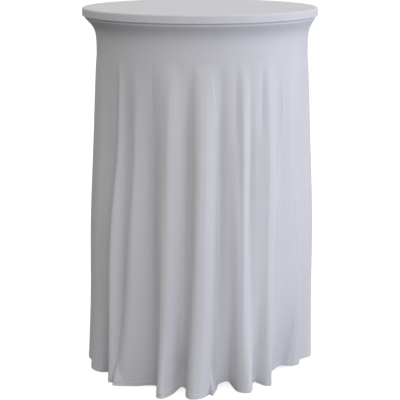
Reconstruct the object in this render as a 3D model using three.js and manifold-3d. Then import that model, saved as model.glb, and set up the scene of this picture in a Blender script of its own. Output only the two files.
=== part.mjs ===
// A standing-height round table under a fitted stretch cover with a wavy floor-length skirt.
// Millimetres, +Z up, origin on the floor under the middle of the tabletop.
// The cover is a cap stretched over the tabletop, gathered under its rim by an elastic tape,
// with four flared skirt gores sewn to it. Inside stands a cast cross base on four screw
// glides, a steel column held by a tie rod, and a top that lifts off the column once the
// clamp knob is loosened.
import * as THREE from "three";
import { mergeVertices } from "three/addons/utils/BufferGeometryUtils.js";
import Module from "manifold-3d";

// ---- Driving dimensions -------------------------------------------------------------
const gap = 0.3; // clearance kept between neighbouring solids

// Cover
const tableHeight = 1100; // floor to the covered top surface
const coverDiameter = 700; // across the covered rim
const clothThickness = 1.2;
const rimRounding = 4;
const lipWidth = 4; // how far the cap tucks in under the rim
const elasticWidth = 8;
const neckDrawIn = 34; // how far the skirt is drawn in under the rim
const neckDrop = 26; // how soon below the rim it is drawn in
const neckCurve = 1.3;
const hemFlare = 5; // how far the folds stand out past the rim at the hem
const hemFoldDepth = 68; // ridge to valley at the hem
const hemClearance = 4; // hem to floor
const hemDepth = 16; // folded and sewn double
const foldCount = 20;
const foldStart = 110; // smooth, tight cloth from the seam down to here
const foldOpening = 0.7; // below 1 the folds open early and then run nearly parallel
const goreCount = 4;
const skirtTurn = 0.03; // radians; the folds don't line up exactly with the base

// Tabletop
const coreThickness = 19;
const laminateThickness = 1;
const edgeThickness = 3;
const edgeRounding = 1.5;
const barbDepth = 8;
const barbThickness = 2.6;

// Fixing plate under the top, and its screws
const plateThickness = 6;
const plateSpan = 300;
const screwEdge = 18; // outer screws to the end of an arm
const screwSpacing = 48;
const plateArmWidth = 44;
const plateHubRadius = 52;
const screwRadius = 2.5;
const screwLength = 19;
const screwHeadRadius = 4.8;
const screwHeadHeight = 3.2;

// Column, socket and tie rod
const columnRadius = 30;
const columnWall = 2;
const socketWall = 3.6;
const socketLength = 70;
const rodRadius = 6;
const nutHeight = 10;
const nutRadius = 10.4; // across the corners of an M12 nut
const washerRadius = 15;
const washerThickness = 2.5;
const plugFlange = 5;
const plugLength = 27;
const plugFloor = 8;

// Cross base
const baseInset = 50; // arm ends to the rim, seen from above
const baseUnderside = 22;
const hubTop = 64;
const hubRadius = 50;
const spigotHeight = 12;
const armRootWidth = 50;
const armTipWidth = 36;
const armTipTop = 48;
const nutRecessDepth = 13;
const collarHeight = 18;

// Screw glides
const glideInset = 25; // glide axis to the end of its arm
const padRadius = 19;
const padHeight = 8;
const footRadius = 8.6;
const glideThreadRadius = 4;
const glideCollarHeight = 6;
const glideHexRadius = 7.5;
const glideTravel = 12;
const jamNutHeight = 5;

// Clamp that holds the top on the column
const clampDrop = 40; // clamp axis below the top of the socket
const clampThreadRadius = 5;
const clampTipLength = 3;
const clampBossLength = 12;
const clampBossRadius = 10;
const knobRadius = 20;
const knobLength = 20;
const knobLobes = 6;

const roundSides = 48; // sides of the large circles
const smallSides = 20;
const tinySides = 8;

// ---- Levels and radii worked out from them ------------------------------------------
const coverRadius = coverDiameter / 2;
const slabRadius = coverRadius - clothThickness - gap;
const laminateTop = tableHeight - clothThickness - gap;
const coreTop = laminateTop - laminateThickness - gap;
const coreBottom = coreTop - coreThickness;
const backingTop = coreBottom - gap;
const slabBottom = backingTop - laminateThickness;
const capBottom = slabBottom - gap - clothThickness;
const seamRadius = coverRadius - lipWidth;
const neckRadius = coverRadius - neckDrawIn;
const hemRidgeRadius = coverRadius + hemFlare;
const hemValleyRadius = hemRidgeRadius - hemFoldDepth;
const skirtTop = capBottom - gap;
const plateTop = slabBottom - gap;
const plateBottom = plateTop - plateThickness;
const plugTop = plateBottom - gap;
const columnTop = plugTop - plugFlange - gap;
const socketTop = plateBottom - gap;
const clampHeight = socketTop - clampDrop;
const socketInner = columnRadius + 1.5 * gap;
const socketOuter = socketInner + socketWall;
const columnInner = columnRadius - columnWall;
const armReach = coverRadius - baseInset;
const glideRadius = armReach - glideInset;

// ---- Materials ----------------------------------------------------------------------
const finish = (color, roughness, metalness = 0) =>
  new THREE.MeshStandardMaterial({ color, roughness, metalness });
const stretchCloth = finish("#c6c7cd", 0.8);
const elasticTape = finish("#d9d9dc", 0.9);
const boardCore = finish("#b08f63", 0.75);
const laminate = finish("#e4e2dc", 0.45);
const edgePlastic = finish("#2a2a2c", 0.5);
const blackSteel = finish("#1c1c1e", 0.5, 0.4);
const castIron = finish("#202124", 0.65, 0.3);
const zincSteel = finish("#b4b7bb", 0.35, 0.9);
const padPlastic = finish("#151515", 0.7);
const knobPlastic = finish("#161618", 0.45);
const brass = finish("#b79a55", 0.35, 0.9);

// ---- Shared shape helpers -----------------------------------------------------------
const wasm = await Module();
wasm.setup();

// A closed mesh as a manifold-3d solid.
function solidFrom(geometry) {
  const bare = geometry.clone();
  bare.deleteAttribute("normal");
  bare.deleteAttribute("uv");
  const merged = mergeVertices(bare, 1e-3);
  return new wasm.Manifold(
    new wasm.Mesh({
      numProp: 3,
      vertProperties: merged.attributes.position.array,
      triVerts: new Uint32Array(merged.index.array),
    }),
  );
}

function geometryFrom(solid) {
  const mesh = solid.getMesh();
  const geometry = new THREE.BufferGeometry();
  geometry.setAttribute("position", new THREE.BufferAttribute(mesh.vertProperties, 3));
  geometry.setIndex(new THREE.BufferAttribute(mesh.triVerts, 1));
  return geometry;
}

const joined = (first, ...others) =>
  geometryFrom(others.reduce((solid, g) => solid.add(solidFrom(g)), solidFrom(first)));

const cutBy = (first, ...others) =>
  geometryFrom(others.reduce((solid, g) => solid.subtract(solidFrom(g)), solidFrom(first)));

// A profile of [radius, z] pairs, walked up its outside and down its inside, turned about Z.
function turned(profile, sides) {
  const points = profile.map(([radius, z]) => new THREE.Vector2(radius, z));
  return new THREE.LatheGeometry(points, sides).rotateX(Math.PI / 2);
}

// The corner radius of a many-sided bore whose flats clear a shaft of this radius as it turns.
const boreFor = (radius, sides) => (radius + gap) / Math.cos(Math.PI / sides);

const disc = (radius, bottom, top, sides) =>
  turned([[0, bottom], [radius, bottom], [radius, top], [0, top]], sides);

function ring(inner, outer, bottom, top, sides) {
  const corners = [[inner, bottom], [outer, bottom], [outer, top], [inner, top]];
  return turned([...corners, corners[0]], sides);
}

const hexNut = (acrossCorners, threadRadius, bottom, top) =>
  cutBy(
    disc(acrossCorners, bottom, top, 6),
    disc(boreFor(threadRadius, tinySides), bottom - 1, top + 1, tinySides),
  );

const part = new THREE.Group();

function add(name, geometry, material, parent = part) {
  const mesh = new THREE.Mesh(geometry, material);
  mesh.name = name;
  parent.add(mesh);
  return mesh;
}

// ---- The cover's cap: one round panel stretched over the rim and tucked under it -------
function capGeometry() {
  const inside = coverRadius - clothThickness;
  const chamfer = rimRounding * (1 - Math.SQRT1_2);
  const round = edgeRounding;
  return turned(
    [
      [0, tableHeight - clothThickness],
      [inside - round, tableHeight - clothThickness],
      [inside, tableHeight - clothThickness - round],
      [inside, capBottom + clothThickness],
      [seamRadius, capBottom + clothThickness],
      [seamRadius, capBottom],
      [coverRadius - round, capBottom],
      [coverRadius, capBottom + round],
      [coverRadius, tableHeight - rimRounding],
      [coverRadius - chamfer, tableHeight - chamfer],
      [coverRadius - rimRounding, tableHeight],
      [0, tableHeight],
    ],
    roundSides,
  );
}

// ---- The skirt ------------------------------------------------------------------------
const skirtDrop = skirtTop - hemClearance;

// The radius of the cloth's middle at a drop below the seam and a turn from the gore's
// middle, and how fast that radius changes along the cloth's circle.
function skirtRadius(drop, turn) {
  const drawnIn = Math.exp(-((drop / neckDrop) ** neckCurve));
  const neck = neckRadius + (seamRadius - clothThickness - neckRadius) * drawnIn;
  const fall = Math.max(0, (drop - foldStart) / (skirtDrop - foldStart));
  const middle = (hemRidgeRadius + hemValleyRadius) / 2;
  const depth = ((hemRidgeRadius - hemValleyRadius) / 2) * fall ** foldOpening;
  const radius = neck + (middle - neckRadius) * fall + depth * Math.cos(foldCount * turn);
  const slope = (-depth * foldCount * Math.sin(foldCount * turn)) / radius;
  return [radius, slope];
}

// Gores meet in the valleys. A box one cell thick is bent into each gore. Its wall is wider
// along the radius where a fold's side slopes, so that the cloth is equally thick all over.
function goreGeometry(goreAngle) {
  const open = (share) => foldStart + share * (skirtDrop - hemDepth - foldStart);
  const neckRows = [0, 15, 40, foldStart];
  const drops = [...neckRows, open(0.1), open(0.3), open(0.6), open(1), skirtDrop];
  const foldsPerGore = foldCount / goreCount;
  const cells = 6 * foldsPerGore;
  const sheet = new THREE.BoxGeometry(1, 1, 1, cells, drops.length - 1, 1);
  const at = sheet.getAttribute("position");
  const seamAngle = gap / 2 / hemValleyRadius;
  const halfAngle = Math.PI / goreCount - seamAngle;
  for (let i = 0; i < at.count; i++) {
    const drop = drops[Math.round((0.5 - at.getY(i)) * (drops.length - 1))];
    const turn = at.getX(i) * 2 * halfAngle;
    const layers = drop >= skirtDrop - hemDepth ? 2 : 1;
    const [middle, slope] = skirtRadius(drop, turn);
    const wall = layers * clothThickness * Math.hypot(1, slope);
    const radius = middle + at.getZ(i) * wall;
    const angle = goreAngle + turn;
    at.setXYZ(i, radius * Math.sin(angle), -radius * Math.cos(angle), skirtTop - drop);
  }
  matchDiagonals(sheet);
  return sheet;
}

// Splits a bent box's inner face along the same diagonals as its outer face, so that the two
// never pass through each other where the cloth twists.
function matchDiagonals(box) {
  const innerFace = box.groups[5];
  const corners = box.index.array;
  for (let i = innerFace.start; i < innerFace.start + innerFace.count; i += 6) {
    const [a, b, d] = corners.slice(i, i + 3);
    const c = corners[i + 4];
    corners.set([a, b, c, a, c, d], i);
  }
}

function addCover() {
  add("cover_cap", capGeometry(), stretchCloth);
  const elasticOuter = seamRadius - gap;
  const elastic = ring(
    elasticOuter - elasticWidth,
    elasticOuter,
    capBottom,
    slabBottom - gap,
    roundSides,
  );
  add("seam_elastic", elastic, elasticTape);
  ["front", "right", "back", "left"].forEach((side, i) => {
    add(`skirt_gore_${side}`, goreGeometry(skirtTurn + (i * 2 * Math.PI) / goreCount), stretchCloth);
  });
}

// ---- The tabletop ---------------------------------------------------------------------
const coreRadius = slabRadius - edgeThickness - gap;
const grooveHalf = barbThickness / 2 + gap;
const coreMiddle = (coreTop + coreBottom) / 2;

// Pilot holes for the plate's screws, one on each arm and row.
const outerRow = plateSpan / 2 - screwEdge;
const screwPlaces = [0, 1, 2, 3].flatMap((arm) =>
  [outerRow - screwSpacing, outerRow].map((distance) => {
    const angle = (arm * Math.PI) / 2;
    return [distance * Math.cos(angle), distance * Math.sin(angle)];
  }),
);
const screwTop = plateBottom - gap + screwLength;
const pilotHoles = screwPlaces.map(([x, y]) =>
  disc(boreFor(screwRadius, tinySides), plateBottom - 1, screwTop + gap, tinySides).translate(x, y, 0),
);

function addTabletop() {
  const board = turned(
    [
      [0, coreBottom],
      [coreRadius, coreBottom],
      [coreRadius, coreMiddle - grooveHalf],
      [coreRadius - barbDepth - gap, coreMiddle - grooveHalf],
      [coreRadius - barbDepth - gap, coreMiddle + grooveHalf],
      [coreRadius, coreMiddle + grooveHalf],
      [coreRadius, coreTop],
      [0, coreTop],
    ],
    roundSides,
  );
  add("core_board", cutBy(board, ...pilotHoles), boardCore);
  add("top_laminate", disc(coreRadius, coreTop + gap, laminateTop, roundSides), laminate);
  const backing = disc(coreRadius, slabBottom, backingTop, roundSides);
  add("backing_laminate", cutBy(backing, ...pilotHoles), laminate);

  const edgeInner = slabRadius - edgeThickness;
  const barbTip = edgeInner - barbDepth;
  const corners = [
    [edgeInner, slabBottom],
    [slabRadius, slabBottom],
    [slabRadius, laminateTop - edgeRounding],
    [slabRadius - edgeRounding, laminateTop],
    [edgeInner, laminateTop],
    [edgeInner, coreMiddle + barbThickness / 2],
    [barbTip, coreMiddle + barbThickness / 2],
    [barbTip, coreMiddle - barbThickness / 2],
    [edgeInner, coreMiddle - barbThickness / 2],
  ];
  add("edge_band", turned([...corners, corners[0]], roundSides), edgePlastic);
}

// ---- The fixing plate, its screws and the socket that drops over the column ---------------
function addFixingPlate() {
  const cross = new THREE.Shape();
  const half = plateArmWidth / 2;
  const reach = plateSpan / 2;
  for (let arm = 0; arm < 4; arm++) {
    const along = (arm * Math.PI) / 2;
    const middle = new THREE.Vector2(reach - half, 0).rotateAround(new THREE.Vector2(), along);
    const inner = new THREE.Vector2(half, -half).rotateAround(new THREE.Vector2(), along);
    if (arm === 0) cross.moveTo(inner.x, inner.y);
    else cross.lineTo(inner.x, inner.y);
    cross.absarc(middle.x, middle.y, half, along - Math.PI / 2, along + Math.PI / 2, false);
  }
  const arms = new THREE.ExtrudeGeometry(cross, {
    depth: plateThickness,
    bevelEnabled: false,
    curveSegments: 8,
  }).translate(0, 0, plateBottom);
  const hub = disc(plateHubRadius, plateBottom, plateTop, smallSides);
  add("fixing_plate", cutBy(joined(arms, hub), ...pilotHoles), blackSteel);

  screwPlaces.forEach(([x, y], i) => {
    const headTop = plateBottom - gap;
    const screw = turned(
      [
        [0, headTop - screwHeadHeight],
        [screwHeadRadius * 0.7, headTop - screwHeadHeight],
        [screwHeadRadius, headTop - screwHeadHeight * 0.4],
        [screwHeadRadius, headTop],
        [screwRadius, headTop],
        [screwRadius, screwTop - 2 * screwRadius],
        [0, screwTop],
      ],
      tinySides,
    );
    add(`plate_screw_${i + 1}`, screw.translate(x, y, 0), zincSteel);
  });

  // A through hole on the +X side lets the clamp's tip reach the column.
  const sleeve = ring(socketInner, socketOuter, socketTop - socketLength, socketTop, smallSides);
  const tipHole = disc(boreFor(clampThreadRadius, tinySides), 0, socketOuter + 5, tinySides)
    .rotateY(Math.PI / 2)
    .translate(0, 0, clampHeight);
  add("column_socket", cutBy(sleeve, tipHole), blackSteel);
}

// ---- The clamp: a boss on the socket, a knob on a screw, and the tip that it turns on ------
function addClamp() {
  const clamp = new THREE.Group();
  clamp.position.z = clampHeight;
  clamp.rotation.y = Math.PI / 2; // its own +Z now points away from the column, along +X
  part.add(clamp);

  const bossStart = socketOuter + gap;
  const bossEnd = bossStart + clampBossLength;
  const bossBore = boreFor(clampThreadRadius, smallSides);
  const boss = ring(bossBore, clampBossRadius, bossStart, bossEnd, smallSides);
  add("clamp_boss", boss, blackSteel, clamp);

  const tipStart = columnRadius + gap;
  const tipEnd = tipStart + clampTipLength;
  const tip = disc(clampThreadRadius - gap, tipStart, tipEnd, tinySides);
  add("clamp_tip", tip, brass, clamp);

  const knobStart = bossEnd + 8;
  const screwEnd = knobStart + knobLength * 0.6;
  const screw = disc(clampThreadRadius, tipEnd + gap, screwEnd, tinySides);
  add("clamp_screw", screw, zincSteel, clamp);

  const lobed = new THREE.Shape();
  const steps = knobLobes * 8;
  for (let i = 0; i < steps; i++) {
    const angle = (i * 2 * Math.PI) / steps;
    const radius = knobRadius - 2.5 * (1 - Math.cos(knobLobes * angle));
    const corner = [radius * Math.cos(angle), radius * Math.sin(angle)];
    if (i === 0) lobed.moveTo(...corner);
    else lobed.lineTo(...corner);
  }
  const body = new THREE.ExtrudeGeometry(lobed, { depth: knobLength, bevelEnabled: false });
  body.translate(0, 0, knobStart);
  const seatRadius = boreFor(clampThreadRadius, tinySides);
  const seat = disc(seatRadius, knobStart - 1, screwEnd + gap, tinySides);
  add("clamp_knob", cutBy(body, seat), knobPlastic, clamp);
}

// ---- The column and the tie rod that pulls it down onto the base -------------------------
const columnBottom = hubTop + gap;
const plugSeat = plugTop - plugLength + plugFloor;
const recessTop = baseUnderside + nutRecessDepth;

function addColumn() {
  const tube = ring(columnInner, columnRadius, columnBottom, columnTop, smallSides);
  add("column_tube", tube, blackSteel);

  const plugBottom = plugTop - plugLength;
  const nutWell = nutRadius + 4;
  const rodBore = boreFor(rodRadius, smallSides);
  const plugCorners = [
    [rodBore, plugBottom],
    [columnInner - gap, plugBottom],
    [columnInner - gap, plugTop - plugFlange],
    [columnRadius, plugTop - plugFlange],
    [columnRadius, plugTop],
    [nutWell, plugTop],
    [nutWell, plugSeat],
    [rodBore, plugSeat],
  ];
  add("column_plug", turned([...plugCorners, plugCorners[0]], smallSides), castIron);

  const topNutBottom = plugSeat + gap;
  const topNut = hexNut(nutRadius, rodRadius, topNutBottom, topNutBottom + nutHeight);
  add("rod_top_nut", topNut, zincSteel);

  const washerTop = recessTop - gap;
  const washerBottom = washerTop - washerThickness;
  const washer = ring(rodBore, washerRadius, washerBottom, washerTop, smallSides);
  add("rod_foot_washer", washer, zincSteel);
  const footNutTop = washerBottom - gap;
  const footNut = hexNut(nutRadius, rodRadius, footNutTop - nutHeight, footNutTop);
  add("rod_foot_nut", footNut, zincSteel);
  const rodStart = footNutTop - nutHeight - 3;
  const rod = disc(rodRadius, rodStart, topNutBottom + nutHeight + 3, tinySides);
  add("tie_rod", rod, zincSteel);

  const collarInner = columnRadius + gap;
  const collarBottom = hubTop + gap;
  const collarTop = collarBottom + collarHeight;
  const collarCorners = [
    [collarInner, collarBottom],
    [hubRadius - 2, collarBottom],
    [hubRadius - 2, collarBottom + 3],
    [hubRadius - 12, collarBottom + 8],
    [collarInner + 2, collarTop],
    [collarInner, collarTop],
  ];
  const collar = turned([...collarCorners, collarCorners[0]], smallSides);
  add("column_collar", collar, zincSteel);
}

// ---- The cross base: one iron casting --------------------------------------------------
// One arm along +X: a tapered outline seen from above, cut down to a sloping side profile.
function armSolid() {
  const tip = armReach;
  const tipHalf = armTipWidth / 2;
  const outline = new THREE.Shape();
  outline.moveTo(0, -armRootWidth / 2);
  outline.lineTo(tip - tipHalf, -tipHalf);
  outline.absarc(tip - tipHalf, 0, tipHalf, -Math.PI / 2, Math.PI / 2, false);
  outline.lineTo(0, armRootWidth / 2);
  const height = hubTop - baseUnderside;
  const plan = new THREE.ExtrudeGeometry(outline, {
    depth: height,
    bevelEnabled: false,
    curveSegments: 6,
  }).translate(0, 0, baseUnderside);

  const side = new THREE.Shape();
  side.moveTo(-1, baseUnderside - 1);
  side.lineTo(tip + 1, baseUnderside - 1);
  side.lineTo(tip + 1, armTipTop - 6);
  side.lineTo(tip - 12, armTipTop);
  side.lineTo(glideRadius - padRadius, armTipTop);
  side.lineTo(hubRadius, hubTop - 4);
  side.lineTo(-1, hubTop - 4);
  const slab = new THREE.ExtrudeGeometry(side, { depth: 2 * armRootWidth, bevelEnabled: false })
    .translate(0, 0, -armRootWidth)
    .rotateX(Math.PI / 2);
  return solidFrom(plan).intersect(solidFrom(slab));
}

function addBase() {
  const arm = armSolid();
  const hub = turned(
    [
      [0, baseUnderside],
      [hubRadius, baseUnderside],
      [hubRadius, hubTop],
      [columnInner - gap, hubTop],
      [columnInner - gap, hubTop + spigotHeight],
      [0, hubTop + spigotHeight],
    ],
    smallSides,
  );
  let casting = solidFrom(hub);
  for (let i = 0; i < 4; i++) casting = casting.add(arm.rotate([0, 0, 90 * i]));

  const rodHole = disc(boreFor(rodRadius, tinySides), 0, hubTop + spigotHeight + 1, tinySides);
  const recess = disc(washerRadius + 3, 0, recessTop, smallSides);
  const glideHoles = glidePlaces.map(([x, y]) =>
    disc(boreFor(glideThreadRadius, tinySides), 0, glideHoleTop, tinySides).translate(x, y, 0),
  );
  for (const hole of [rodHole, recess, ...glideHoles]) {
    casting = casting.subtract(solidFrom(hole));
  }
  add("base_casting", geometryFrom(casting), castIron);
}

// ---- The screw glides: a foot pad that swivels on a threaded stem -------------------------
const glidePlaces = [0, 1, 2, 3].map((i) => {
  const angle = (i * Math.PI) / 2;
  return [glideRadius * Math.cos(angle), glideRadius * Math.sin(angle)];
});
const jamNutBottom = baseUnderside - gap - jamNutHeight;
const glideStemTop = baseUnderside + glideTravel + 8;
const glideHoleTop = glideStemTop + 2;

function addGlides() {
  const footBottom = 3;
  const footTop = footBottom + 2.6;
  const neck = glideThreadRadius + 1;
  const collarBottom = padHeight + gap;
  const collarTop = collarBottom + glideCollarHeight;
  const padMouth = boreFor(neck, smallSides);
  const padPocket = boreFor(footRadius, smallSides);
  const padCorners = [
    [0, 0],
    [padRadius - 1.5, 0],
    [padRadius, 1.5],
    [padRadius, padHeight - 4],
    [padRadius - 5, padHeight],
    [padMouth, padHeight],
    [padMouth, footTop + gap],
    [padPocket, footTop + gap],
    [padPocket, footBottom - gap],
    [0, footBottom - gap],
  ];
  const stemShape = [
    [0, footBottom],
    [footRadius, footBottom],
    [footRadius, footTop],
    [neck, footTop],
    [neck, collarBottom + 1],
    [glideThreadRadius, collarTop + 1],
    [glideThreadRadius, glideStemTop - 1],
    [glideThreadRadius - 1, glideStemTop],
    [0, glideStemTop],
  ];
  glidePlaces.forEach(([x, y], i) => {
    const pad = turned(padCorners, smallSides);
    add(`glide_pad_${i + 1}`, pad.translate(x, y, 0), padPlastic);

    const stem = turned(stemShape, tinySides);
    const hex = disc(glideHexRadius, collarBottom, collarTop, 6);
    add(`glide_stem_${i + 1}`, joined(stem, hex).translate(x, y, 0), zincSteel);

    const nut = hexNut(
      glideHexRadius,
      glideThreadRadius,
      jamNutBottom,
      jamNutBottom + jamNutHeight,
    );
    add(`jam_nut_${i + 1}`, nut.translate(x, y, 0), zincSteel);
  });
}

addCover();
addTabletop();
addFixingPlate();
addClamp();
addColumn();
addBase();
addGlides();

export default part;
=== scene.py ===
import math

import bmesh
import bpy
import numpy as np
from mathutils import Matrix, Vector


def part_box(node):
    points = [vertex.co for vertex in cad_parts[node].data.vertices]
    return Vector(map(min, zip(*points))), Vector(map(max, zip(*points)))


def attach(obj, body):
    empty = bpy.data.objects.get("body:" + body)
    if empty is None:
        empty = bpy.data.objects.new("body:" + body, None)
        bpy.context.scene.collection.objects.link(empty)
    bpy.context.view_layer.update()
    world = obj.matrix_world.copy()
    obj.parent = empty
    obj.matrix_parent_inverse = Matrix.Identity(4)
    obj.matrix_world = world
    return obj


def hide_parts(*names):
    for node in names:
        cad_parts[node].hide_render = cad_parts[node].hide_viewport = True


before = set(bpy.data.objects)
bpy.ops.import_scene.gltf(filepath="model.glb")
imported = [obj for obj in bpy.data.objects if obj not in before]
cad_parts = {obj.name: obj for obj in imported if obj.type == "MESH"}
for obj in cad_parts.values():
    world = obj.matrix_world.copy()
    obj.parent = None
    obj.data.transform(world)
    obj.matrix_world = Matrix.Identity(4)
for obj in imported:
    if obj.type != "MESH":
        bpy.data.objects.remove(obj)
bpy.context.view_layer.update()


# ======================================================================================
# CAMERA: stands 3.4 m in front of the table, a little above it, looking slightly down.
# ======================================================================================
camera_data = bpy.data.cameras.new("camera")
camera_data.sensor_width = 36
camera_data.lens = 101.7
camera = bpy.data.objects.new("camera", camera_data)
camera.location = (0, -3.408, 1.333)
camera.rotation_euler = (math.radians(90 - 13.64), 0, 0)
bpy.context.collection.objects.link(camera)
bpy.context.scene.camera = camera


# ======================================================================================
# STUDIO: a wide white floor and an even pale surround, with three soft lights: a large one
# beside the table on its right, a low one at its front right, and one beside the camera.
# ======================================================================================
bpy.context.scene.view_settings.view_transform = "Standard"

floor_mesh = bpy.data.meshes.new("studio_floor")
reach = 30
floor_corners = [(-reach, -reach, 0), (reach, -reach, 0), (reach, reach, 0), (-reach, reach, 0)]
floor_mesh.from_pydata(floor_corners, [], [(0, 1, 2, 3)])
studio_floor = bpy.data.objects.new("studio_floor", floor_mesh)
bpy.context.collection.objects.link(studio_floor)
floor_paint = bpy.data.materials.new("studio_white")
floor_paint.use_nodes = True
floor_nodes, floor_links = floor_paint.node_tree.nodes, floor_paint.node_tree.links
floor_shader = floor_nodes["Principled BSDF"]
floor_shader.inputs["Base Color"].default_value = (0.5, 0.5, 0.5, 1)
floor_shader.inputs["Roughness"].default_value = 0.9
floor_shader.inputs["Emission Color"].default_value = (1, 1, 1, 1)
floor_shader.inputs["Emission Strength"].default_value = 0.8
# The floor is lit to plain white for the camera, but throws little of that light back up.
floor_bounce = floor_nodes.new("ShaderNodeBsdfDiffuse")
floor_bounce.inputs["Color"].default_value = (0.05, 0.05, 0.05, 1)
floor_ray = floor_nodes.new("ShaderNodeLightPath")
floor_mix = floor_nodes.new("ShaderNodeMixShader")
floor_links.new(floor_ray.outputs["Is Camera Ray"], floor_mix.inputs[0])
floor_links.new(floor_bounce.outputs[0], floor_mix.inputs[1])
floor_links.new(floor_shader.outputs[0], floor_mix.inputs[2])
floor_links.new(floor_mix.outputs[0], floor_nodes["Material Output"].inputs["Surface"])
floor_mesh.materials.append(floor_paint)

surround = bpy.data.worlds.new("surround")
surround.use_nodes = True
surround.node_tree.nodes["Background"].inputs["Color"].default_value = (0.994, 1.0, 0.947, 1)
surround.node_tree.nodes["Background"].inputs["Strength"].default_value = 0.66
bpy.context.scene.world = surround


def soft_light(name, place, aim, width, height, power, colour):
    data = bpy.data.lights.new(name, "AREA")
    data.shape = "RECTANGLE"
    data.size = width
    data.size_y = height
    data.energy = power
    data.color = colour
    light = bpy.data.objects.new(name, data)
    light.location = place
    light.rotation_euler = (Vector(aim) - Vector(place)).to_track_quat("-Z", "Y").to_euler()
    bpy.context.collection.objects.link(light)


soft_light("side_light", (3.4, 0.2, 1.5), (0, 0.2, 1.2), 2.4, 2.6, 54.4, (0.806, 0.844, 1.0))
soft_light("low_light", (2.3, -2.3, 0.5), (0, 0, 0.4), 1.4, 1.4, 17.5, (0.80, 0.885, 1.0))
soft_light("front_light", (1.2, -4.4, 1.9), (0, 0, 0.5), 2.4, 2.4, 45.6, (0.982, 0.933, 1.0))


# ======================================================================================
# SKIRT: four flared panels of thin stretch knit sewn side by side and on to the cap's rim.
# Just under the rim the cloth is drawn in tight and smooth; lower down its spare width
# hangs in about eighteen uneven folds that reach the floor, where a twin-stitched hem ends it.
# ======================================================================================
MM = 0.001
SEAM_HEIGHT = 1075.0
HEM_HEIGHT = 1.5
SEAM_RADIUS = 345.5
NECK_RADIUS = 316
# How far below the seam the folds start, and where else their shape is set.
FOLDS_START = 115
HIGH_DROP = 375
MIDDLE_DROP = 630
LOW_DROP = 900
# The cloth's mean radius at those three places.
HIGH_RADIUS = 326
MIDDLE_RADIUS = 332
LOW_RADIUS = 334
FOLD_DEPTH = 1.3  # makes all the folds deeper or shallower
FOLD_EASE = 0.75  # below 1, the folds grow faster near the neck
HEM_SWING = 2.2  # how late on its way down a fold leans over to its bearing at the hem
TROUGH_OUT = 0.35  # the share of a trough's depth by which its hem hangs further out
TROUGH_LIFT = 0.22  # the share of a trough's depth by which its hem clears the floor
CLOTH = 0.9
HEM_BAND = 17
COLUMNS = 1040  # mesh columns round the skirt
PANELS = ("front", "right", "back", "left")

# One entry for each line of cloth that hangs from the neck to the floor, from the left side
# past the front to the right. Bearings are degrees from the front towards the right. Each has
# its bearing at the neck, how far it stands out from the mean a third and three fifths of the
# way down, and its bearing and radius at the hem. Lengths are millimetres.
front_folds = [
    (-100, 0, 0, -101, 318), (-93, 1, 4, -95, 344), (-87, 3, 8, -88, 356), (-81, 3, 8, -83, 354),
    (-76, 1, 5, -78, 343), (-71, 3, 9, -74, 353), (-66, 5, 12, -69, 360), (-61, 2, 9, -65, 356),
    (-57, -2, 6, -62, 344), (-54, -4, 2, -60, 322), (-51, -5, 3, -56, 318), (-48.6, -1, 15, -52, 342),
    (-46.5, 5, 20, -49.9, 363), (-44, -2, 9, -48, 362), (-41.5, -7, -1, -46.6, 355),
    (-38.7, -5, 2, -45.4, 359), (-35, 1, 8, -42, 357), (-32.5, -3, 1, -38, 343),
    (-30, -8, -9, -34, 325), (-27, -10, -15, -30.5, 311), (-24.8, -9, -15, -27.4, 300),
    (-22.4, -5, -8, -24, 300), (-20.8, 0, 3, -21.6, 335), (-19.4, 4, 9, -20.5, 366),
    (-17.7, 7, 12, -19.4, 378), (-16, 9, 12.5, -18.2, 381), (-14.6, 9, 12, -16.9, 376),
    (-13.3, 6.5, 9, -15.4, 360), (-12, 0.5, 2, -13.9, 335), (-10.8, -6, -7, -12.6, 306),
    (-9.6, -10, -12.5, -11.4, 282), (-7.8, -11, -14, -10.2, 268), (-5.6, -9, -11.5, -9.2, 266),
    (-4.0, -4, -7, -8.2, 276), (-3.0, 3, 0, -7.4, 305), (-2.3, 9, 9, -6.9, 345),
    (-1.3, 12, 14, -5.8, 363), (0.2, 13.5, 15.5, -4, 369), (1.8, 13, 15, -1.5, 367),
    (3.3, 11, 12.5, 0.8, 360), (4.8, 7.5, 8, 2.8, 349), (6.3, 2.5, 2, 4.4, 335),
    (7.8, -3, -5, 5.8, 320), (9.2, -9.5, -12.5, 7.1, 304), (10.2, -14, -18, 8.4, 287),
    (11.1, -14, -18, 9.9, 274), (13.2, -9, -13, 13, 260), (15, -6, -8.5, 16.5, 252),
    (17, -2.5, -1, 18.5, 290), (19.5, 1, 4, 20, 335), (21.8, 5, 5, 22, 347), (23.6, 2, 0, 24.2, 351),
    (25.3, -4, -6, 27, 341), (28, -3, -7, 30, 300), (31, -1, -5, 33, 286), (34, 2, -3, 34.8, 312),
    (36.5, 4, -1, 36.5, 333), (39, 1, -4, 39, 337), (41.5, -5, -6, 41, 322), (45, -8, -5, 46, 280),
    (49, -4, -2, 54, 260), (53, 0, 1, 61, 262), (57, 1, 3, 65.5, 290), (61, 0, 1, 70, 314),
    (66, -2, 0, 74, 323), (71, -3, 0, 77.5, 312), (76, 0, 4, 81, 325), (81, 3, 8, 85, 348),
    (87, 4, 9, 90, 353), (93, 2, 5, 95, 344), (98, 0, 0, 99, 318),
]

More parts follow.
